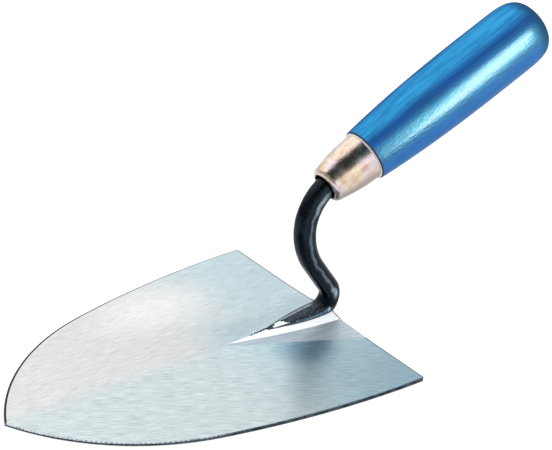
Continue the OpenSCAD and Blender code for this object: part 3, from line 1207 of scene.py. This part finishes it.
def along_axis(tree):
    """The place in millimetres, turned so that X runs along the handle's axis."""
    inputs = {"Vector": place_in_mm(tree), "Rotation": (0, handle_rise, 0)}
    return add_node(tree, "ShaderNodeMapping", inputs).outputs[0]


def facing(tree, turned):
    """How far a place looks up from the axis and how far to the far side, each from minus one to one."""
    axis_height = handle_start[1] * math.cos(handle_rise) - handle_start[0] * math.sin(handle_rise)
    aside = vectors(tree, "SUBTRACT", turned, (0, 0, axis_height / mm))
    outward = vectors(tree, "NORMALIZE", vectors(tree, "MULTIPLY", aside, (0, 1, 1)))
    parts = parts_of(tree, outward)
    return parts["Z"], parts["Y"]


print("handle starts at mm", [round(value / mm, 2) for value in handle_start[:2]])

# %% [markdown]
# The ferrule
#
# A ferrule keeps the wood from splitting where the tang is driven in. It is pressed from thin sheet: the
# mouth is drawn in, the body flares toward the wood, and a small rim stands up at its end. A Solidify
# modifier could give a single surface its wall, but here the inside simply follows the outside.

# %% Profile of the ferrule
ferrule_wall = 0.9 * mm
mouth_draw = 3 * mm
mouth_clearance = 0.9 * mm
front_radius = 9.6 * mm
rear_radius = 12.2 * mm
rim_height = 0.7 * mm
rim_width = 0.55 * mm
rim_round = 0.22 * mm
rim_fillet = 0.25 * mm
taper_power = 1.9
taper_steps = 40
mouth_steps, inner_steps = 20, 12
fillet_steps, rim_steps = 10, 6
neck_corner = top_depth / 2 * 2 ** (1 / 2 - 1 / section_power)
crook_offset = crook_radius - math.sqrt(crook_radius ** 2 - crook_inside ** 2)
mouth_radius = neck_corner + crook_offset + mouth_clearance
rim_radius = rear_radius + rim_height
rim_step = rim_height - rim_round
rim_front = ferrule_length - rim_width
taper_end = rim_front - rim_fillet


def ferrule_radius(far):
    """Outer radius of the flared body at a distance from the mouth."""
    share = min(1, max(0, (far - mouth_draw) / (taper_end - mouth_draw)))
    return front_radius + (rear_radius - front_radius) * (1 - (1 - share) ** taper_power)


taper = [blend(mouth_draw, taper_end, k / taper_steps) for k in range(taper_steps + 1)]
profile = arc(mouth_draw, mouth_radius, mouth_draw, front_radius - mouth_radius, -90, 0, mouth_steps)
profile += [(far, ferrule_radius(far)) for far in taper[1:]]
rim_first = len(profile) - 1
profile += arc(taper_end, rear_radius + rim_step, rim_fillet, -rim_step, 0, 90, fillet_steps)[1:]
rim_middle = rim_radius - rim_round
profile += arc(rim_front + rim_round, rim_middle, rim_round, rim_round, -90, 0, rim_steps)
profile += arc(ferrule_length - rim_round, rim_middle, rim_round, rim_round, 0, 90, rim_steps)
rim_last = len(profile) - 1
profile += [(ferrule_length, rear_radius - ferrule_wall)]
profile += [(far, ferrule_radius(far) - ferrule_wall) for far in reversed(taper)]
profile += arc(mouth_draw, mouth_radius, mouth_draw - ferrule_wall,
               front_radius - ferrule_wall - mouth_radius, 0, -90, inner_steps)[1:]

PLATED, RIM_HIGHLIGHT = 0, 1
ferrule = Shell()
ferrule_rings = [turned_ring(ferrule_mouth, far, radius) for far, radius in profile]
for number, first in enumerate(ferrule_rings):
    second = ferrule_rings[(number + 1) % len(ferrule_rings)]
    ferrule.strip(first, second, group=RIM_HIGHLIGHT if rim_first <= number < rim_last else PLATED)
print("ferrule's mouth has a radius of", round(mouth_radius / mm, 2), "mm")

# %% [markdown]
# Plated steel
#
# The plating is thin and cloudy, warm in some places and cooler in others, and a little uneven from the
# press. Shade is painted underneath as a dull colour, and a highlight is painted on the rim. One metal
# colour looks like chrome, so two pairs of colours are mixed by noise, and a soft bump breaks up the
# reflections.

# %% Ferrule
painted_shade_below_colour = rgb(0.27, 0.225, 0.21)

plating, tree = new_finish("plated_steel")
place = place_in_mm(tree)
clouds = lumps(tree, place, 0.22, 3.0)
cloudy = contrast(tree, clouds, 0.12)
warm = mix_colours(tree, cloudy, rgb(0.57, 0.43, 0.33), rgb(0.72, 0.61, 0.47))
cool = mix_colours(tree, cloudy, rgb(0.60, 0.45, 0.43), rgb(0.68, 0.60, 0.62))
plate = mix_colours(tree, contrast(tree, lumps(tree, place, 0.13, 1.0), 0.08), warm, cool)
# Painted shade: the underside is painted a dull, dark colour
painted_shade_below = remap(tree, facing(tree, along_axis(tree))[0], 0.1, -0.55)
set_shader(tree, {
    "Base Color": mix_colours(tree, painted_shade_below, plate, painted_shade_below_colour),
    "Metallic": 1.0,
    "Roughness": contrast(tree, clouds, 0.2, 0.20, 0.30),
    "Normal": bump(tree, lumps(tree, place, 0.3, 2.0), 0.5, 0.3 * mm),
})

# Painted highlight: the rim is painted pale
rim_painted_highlight, tree = new_finish("rim_painted_highlight")
rim_mottle = lumps(tree, place_in_mm(tree), 0.5, 2.0)
rim_highlight_colour = mix_colours(tree, rim_mottle, rgb(0.80, 0.76, 0.72), rgb(0.98, 0.96, 0.94))
set_shader(tree, {"Base Color": rim_highlight_colour, "Metallic": 0.6, "Roughness": 0.45})
make_piece(ferrule, "ferrule_sleeve", "ferrule", [plating, rim_painted_highlight], sharp=35)

# %% [markdown]
# The handle
#
# The handle is turned from wood: a spigot inside the ferrule, a shoulder, a swell toward the palm and a
# domed butt. A subdivided cylinder could be pushed into that shape by eye, but a lathe follows a profile, so
# the mesh does too. The tang's socket is cut in it as a rounded square.

# %% Profile of the handle
handle_length = 114.2 * mm
shoulder_step = 1.3 * mm
shoulder_radius = rear_radius + shoulder_step
shoulder_round = 0.8 * mm
shoulder_steps = 8
belly_radius = 16.9 * mm
belly_distance = 85 * mm
butt_length = 21.5 * mm
swell_power = 2.5
butt_power = 3.9
wood_gap = 0.05 * mm
socket_start = shoulder_length + 0.3 * mm
spigot_length = ferrule_length - crook_inside - socket_start
spigot_steps = 12
swell_steps = 60
butt_steps = 40


def handle_radius(far):
    """Radius of the grip at a distance from the shoulder."""
    share = min(1, far / belly_distance)
    return shoulder_radius + (belly_radius - shoulder_radius) * (1 - (1 - share) ** swell_power)


butt_start = handle_length - butt_length
spigot = [blend(-spigot_length, 0, k / spigot_steps) for k in range(spigot_steps + 1)]
swell = [blend(shoulder_round, butt_start, k / swell_steps) for k in range(1, swell_steps + 1)]
profile = [(far, ferrule_radius(ferrule_length + far) - ferrule_wall - wood_gap) for far in spigot]
profile += arc(shoulder_round, shoulder_radius - shoulder_round, shoulder_round, shoulder_round,
               -90, 0, shoulder_steps)
profile += [(far, handle_radius(far)) for far in swell]
for k in range(1, butt_steps + 1):
    angle = math.pi / 2 * k / butt_steps
    far = butt_start + butt_length * math.sin(angle) ** (2 / butt_power)
    profile.append((far, handle_radius(butt_start) * max(0, math.cos(angle)) ** (2 / butt_power)))
print("handle's profile has", len(profile), "points")

# %% Mesh of the handle
LACQUERED, SHOULDER_SHADE = 0, 1
tang_gap = 0.1 * mm
socket_end = tang_length + 1.5 * mm
socket_steps = 6


def socket_half(far):
    """Half the socket's side at a distance from the end of the crook."""
    share = (far - shoulder_length) / (tang_length - shoulder_length)
    return blend(tang_root, tang_tip, share) / 2 + tang_gap


handle = Shell()
handle_rings = [turned_ring(handle_start, far, radius) for far, radius in profile]
socket = [blend(socket_start, socket_end, k / socket_steps) for k in range(socket_steps + 1)]
socket_rings = [turned_ring(crook_end, far, socket_half(far), section_power) for far in socket]
shoulder_rings = range(spigot_steps, spigot_steps + shoulder_steps)
for number, (first, second) in enumerate(zip(handle_rings, handle_rings[1:])):
    handle.strip(first, second, group=SHOULDER_SHADE if number in shoulder_rings else LACQUERED)
handle.strips(socket_rings)
handle.strip(handle_rings[0], socket_rings[0])
handle.face(socket_rings[-1])
print("socket reaches", round(socket_end / mm, 1), "mm past the crook")

# %% [markdown]
# Blue lacquer over wood
#
# The lacquer is thin, so the grain shows through as fine streaks along the axis. The handle is deep blue
# on its sides and matt on top. Light and shade are painted into its colour: a lighter sheen on top and a
# clearer, lighter blue below, by the side that a place faces, and shade at the butt. A clear coat is left
# on the sides only, where it draws the white heart of the long streak over a wider, bluish shine. One
# colour with one gloss would look like plastic, so both follow the side that a place faces.

# %% Colours of the lacquered wood
# Painted shade: the butt is painted dark
butt_painted_shade_colour = rgb(0.003, 0.010, 0.09)
butt_fade, butt_full = 14, 3
top_lift = (0.80, 0.985)
below_lift = (0.25, -0.2)

blue_lacquer, tree = new_finish("blue_lacquer")
turned = along_axis(tree)
lift, aside = facing(tree, turned)
fibres = streaks(tree, turned, (0.05, 0.8, 0.8), 5.0)
streak = contrast(tree, fibres, 0.15)
deep_blue = mix_colours(tree, streak, rgb(0.002, 0.020, 0.16), rgb(0.005, 0.046, 0.28))
# Painted light by the side a place faces: a lighter sheen on top and a lighter, clearer blue below
top_painted_sheen_blue = mix_colours(tree, streak, rgb(0.012, 0.17, 0.42), rgb(0.03, 0.28, 0.57))
lighter_blue_painted_below = mix_colours(tree, streak, rgb(0.001, 0.09, 0.46), rgb(0.002, 0.15, 0.60))
blue_with_painted_light = mix_colours(tree, remap(tree, lift, *top_lift), deep_blue, top_painted_sheen_blue)
blue_with_painted_light = mix_colours(tree, remap(tree, lift, *below_lift), blue_with_painted_light, lighter_blue_painted_below)
start_along = handle_start[0] * math.cos(handle_rise) + handle_start[1] * math.sin(handle_rise)
end_along = (start_along + handle_length) / mm
on_butt = remap(tree, parts_of(tree, turned)["X"], end_along - butt_fade, end_along - butt_full)
print("butt ends at", round(end_along, 1), "mm along the axis")

# %% Shader of the lacquered wood
butt_roughness = 0.95
coat_share = 0.23

satin = contrast(tree, fibres, 0.2, 0.38, 0.50)
duller_below = remap(tree, lift, 0.2, -0.3, 0.0, 0.4)
duller_on_top = remap(tree, lift, 0.55, 0.80, 0.0, 0.5)
duller_behind = remap(tree, aside, -0.1, 0.4, 0.0, 0.3)
for duller in (duller_below, duller_on_top, duller_behind):
    satin = sums(tree, "ADD", satin, duller)
coat = remap(tree, lift, 0.45, 0.70, coat_share, 0.0)
ripples = streaks(tree, turned, (0.3, 1.1, 1.1), 2.0)
relief = sums(tree, "ADD", sums(tree, "MULTIPLY", fibres, 0.4), ripples)
set_shader(tree, {
    "Base Color": mix_colours(tree, on_butt, blue_with_painted_light, butt_painted_shade_colour),
    "Roughness": mix_numbers(tree, on_butt, satin, butt_roughness),
    "IOR": 1.65,
    "Specular Tint": rgb(0.17, 0.78, 0.84),
    "Coat Weight": sums(tree, "MULTIPLY", coat, sums(tree, "SUBTRACT", 1.0, on_butt)),
    "Coat Roughness": 0.2,
    "Normal": bump(tree, relief, 1.0, 0.2 * mm),
})
print("blue lacquer is wired with", len(tree.nodes), "nodes")

# %% Handle
# Painted shade: the shoulder ring between the ferrule's rim and the handle is painted near-black
shoulder_painted_shade, tree = new_finish("shoulder_ring_painted_shade")
shoulder_mottle = lumps(tree, place_in_mm(tree), 0.8, 3.0)
shoulder_shade_colour = mix_colours(tree, shoulder_mottle, rgb(0.003, 0.008, 0.03), rgb(0.01, 0.04, 0.13))
set_shader(tree, {"Base Color": shoulder_shade_colour, "Roughness": 0.6})
handle_finishes = [blue_lacquer, shoulder_painted_shade]
handle_piece = make_piece(handle, "turned_handle", "handle", handle_finishes, sharp=50)

# %% [markdown]
# What the front box reaches
#
# On a real set, black flags keep a lamp off what it should not reach. Flags could be modelled, but Blender
# has light linking: a lamp with a collection of receivers leaves everything else alone. The front box draws
# its streak on the handle and the neck, and the blade, the weld and the ferrule stay free of it.

# %% Receivers of the front box
streaked = bpy.data.collections.new("streaked_by_front_box")
for piece in (handle_piece, neck_piece):
    streaked.objects.link(piece)
front_box.light_linking.receiver_collection = streaked

# %% [markdown]
# The view transform
#
# A dressed piece must not grow past its solid, because the solid is what fits and collides. Each piece
# printed how far its box keeps inside its solid's box when it was made. Last, the view transform is set
# to Standard.

# %% View transform
scene.view_settings.view_transform = "Standard"
